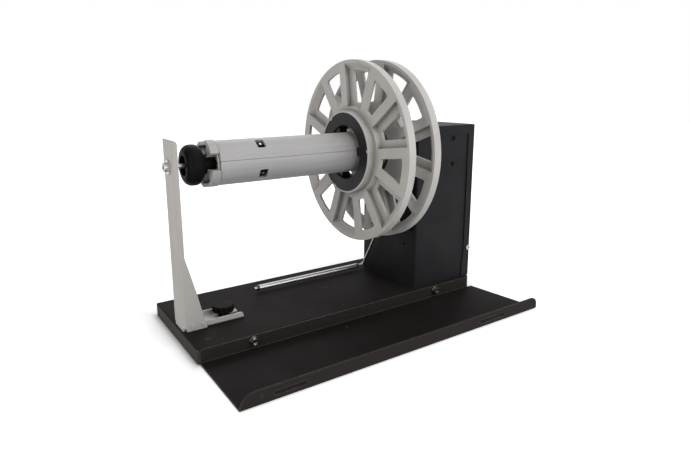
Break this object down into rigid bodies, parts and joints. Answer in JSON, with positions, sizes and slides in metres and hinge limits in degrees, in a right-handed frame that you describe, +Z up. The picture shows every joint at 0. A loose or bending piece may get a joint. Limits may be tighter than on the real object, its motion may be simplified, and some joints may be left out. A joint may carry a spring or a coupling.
{
  "type": "label rewinder",
  "caption": "Bench label rewinder: motor cabinet on a sheet base with tray turns an expanding mandrel with corrugated flanges, steadied by a support arm; low dancer roller.",
  "frame": {"origin": "on the floor, straight below the spindle axis, in the plane of the cabinet wall that the spindle comes out of", "axes": "+X along the spindle towards the cabinet, +Y to the rear, +Z up"},
  "size_m": [0.3175, 0.2146, 0.2405],
  "materials": {
    "base_paint": "charcoal satin powder coat",
    "tray_paint": "charcoal satin powder coat",
    "arm_paint": "satin powder coat",
    "cabinet_paint": "fine textured powder coat",
    "flange_plastic": "fine moulded texture",
    "jaw_aluminium": "satin anodised, drawn lines",
    "black_plastic": "fine moulded texture",
    "bright_steel": "ground",
    "zinc_steel": "zinc plated",
    "black_screws": "black oxide",
    "cast_aluminium": "turned",
    "motor_paint": "satin",
    "brass": "turned",
    "gear_plastic": "moulded",
    "rubber": "matte",
    "board_laminate": "solder mask",
    "board_black": "moulded"
  },
  "bodies": {
    "root": {"base_pan": "base_paint", "rubber_feet": "rubber", "feet_screws": "zinc_steel", "alignment_tray": "tray_paint", "tray_screws": "black_screws", "tray_washers": "zinc_steel", "tray_press_nuts": "zinc_steel", "cabinet_chassis": "cabinet_paint", "cabinet_cover": "cabinet_paint", "chassis_screws": "zinc_steel", "cover_screws": "zinc_steel", "bracket_screws": "black_screws", "bearing_housing": "cast_aluminium", "housing_screws": "black_screws", "spindle_bearings": "bright_steel", "motor_bracket": "zinc_steel", "drive_motor": "motor_paint", "motor_screws": "zinc_steel", "clamp_stud": "bright_steel", "dancer_bush": "brass", "dancer_nut": "zinc_steel", "dancer_spring": "zinc_steel", "dancer_sensor": "board_laminate", "control_board": "board_laminate", "board_standoffs": "brass", "board_parts": "board_black", "rocker_housing": "black_plastic", "dial_potentiometer": "zinc_steel", "power_inlet": "black_plastic"},
    "spindle": {"spindle_gear": "gear_plastic", "drive_shaft": "bright_steel", "mandrel_collar": "cast_aluminium", "shaft_clips": "zinc_steel", "return_ring": "rubber", "inner_flange": "flange_plastic", "inner_hub_ring": "black_plastic", "hub_ring_screws": "black_screws"},
    "motor_rotor": {"motor_shaft": "bright_steel", "motor_pinion": "brass"},
    "expansion_knob": {"expansion_knob": "black_plastic"},
    "wedge": {"wedge_sleeve": "black_plastic", "guide_pins": "bright_steel"},
    "jaw_1": {"jaw_1": "jaw_aluminium"},
    "jaw_2": {"jaw_2": "jaw_aluminium"},
    "jaw_3": {"jaw_3": "jaw_aluminium"},
    "jaw_4": {"jaw_4": "jaw_aluminium"},
    "outer_flange": {"outer_flange": "flange_plastic", "outer_hub_ring": "black_plastic"},
    "dancer": {"dancer_arm": "bright_steel", "dancer_lever": "gear_plastic", "roller_clips": "black_screws"},
    "dancer_roller": {"dancer_roller": "bright_steel"},
    "support_arm": {"support_post": "arm_paint", "support_foot": "arm_paint", "support_rivets": "zinc_steel", "pivot_pin": "bright_steel", "pin_washers": "zinc_steel"},
    "clamp_knob": {"clamp_knob": "black_plastic"},
    "rocker": {"rocker": "black_plastic"},
    "torque_dial": {"torque_dial": "black_plastic"}
  },
  "joints": [
    {"name": "spindle_spin", "type": "hinge", "parent": "root", "child": "spindle", "pos_m": [0, 0, 0.1525], "axis": [1, 0, 0], "continuous": true},
    {"name": "motor_spin", "type": "hinge", "parent": "root", "child": "motor_rotor", "pos_m": [0.04, 0, 0.1225], "axis": [1, 0, 0], "continuous": true},
    {"name": "knob_turn", "type": "hinge", "parent": "spindle", "child": "expansion_knob", "pos_m": [-0.21, 0, 0.1525], "axis": [1, 0, 0], "range_deg": [-180.5, 180.5]},
    {"name": "wedge_slide", "type": "slide", "parent": "spindle", "child": "wedge", "axis": [1, 0, 0], "range_m": [-0.00075, 0.00075]},
    {"name": "jaw_1_spread", "type": "slide", "parent": "spindle", "child": "jaw_1", "axis": [0, -0.5736, 0.8192], "range_m": [-0.00031, 0.00031]},
    {"name": "jaw_2_spread", "type": "slide", "parent": "spindle", "child": "jaw_2", "axis": [0, -0.8192, -0.5736], "range_m": [-0.00031, 0.00031]},
    {"name": "jaw_3_spread", "type": "slide", "parent": "spindle", "child": "jaw_3", "axis": [0, 0.5736, -0.8192], "range_m": [-0.00031, 0.00031]},
    {"name": "jaw_4_spread", "type": "slide", "parent": "spindle", "child": "jaw_4", "axis": [0, 0.8192, 0.5736], "range_m": [-0.00031, 0.00031]},
    {"name": "flange_slide", "type": "slide", "parent": "spindle", "child": "outer_flange", "axis": [1, 0, 0], "range_m": [-0.125, 0.018]},
    {"name": "dancer_swing", "type": "hinge", "parent": "root", "child": "dancer", "pos_m": [-0.01, -0.001, 0.08255], "axis": [1, 0, 0], "range_deg": [0, 50], "stiffness_Nm_per_rad": 0.03, "springref_deg": -34.38},
    {"name": "roller_spin", "type": "hinge", "parent": "dancer", "child": "dancer_roller", "pos_m": [-0.076, 0.0365, 0.0176], "axis": [1, 0, 0], "continuous": true},
    {"name": "support_slide", "type": "slide", "parent": "root", "child": "support_arm", "axis": [1, 0, 0], "range_m": [-0.014, 0]},
    {"name": "clamp_turn", "type": "hinge", "parent": "root", "child": "clamp_knob", "pos_m": [-0.189, 0, 0.02], "axis": [0, 0, 1], "range_deg": [0, 180]},
    {"name": "rocker_tilt", "type": "hinge", "parent": "root", "child": "rocker", "pos_m": [0.022, 0.044, 0.046], "axis": [1, 0, 0], "range_deg": [-8, 8]},
    {"name": "dial_turn", "type": "hinge", "parent": "root", "child": "torque_dial", "pos_m": [0.052, 0.044, 0.046], "axis": [0, 1, 0], "range_deg": [-135, 135]}
  ],
  "couplings": [
    {"joint": "motor_spin", "follows": "spindle_spin", "ratio": -2},
    {"joint": "knob_turn", "follows": "wedge_slide", "rad_per_m": 4188.8},
    {"joint": "jaw_1_spread", "follows": "wedge_slide", "ratio": 0.4},
    {"joint": "jaw_2_spread", "follows": "wedge_slide", "ratio": 0.4},
    {"joint": "jaw_3_spread", "follows": "wedge_slide", "ratio": 0.4},
    {"joint": "jaw_4_spread", "follows": "wedge_slide", "ratio": 0.4}
  ]
}
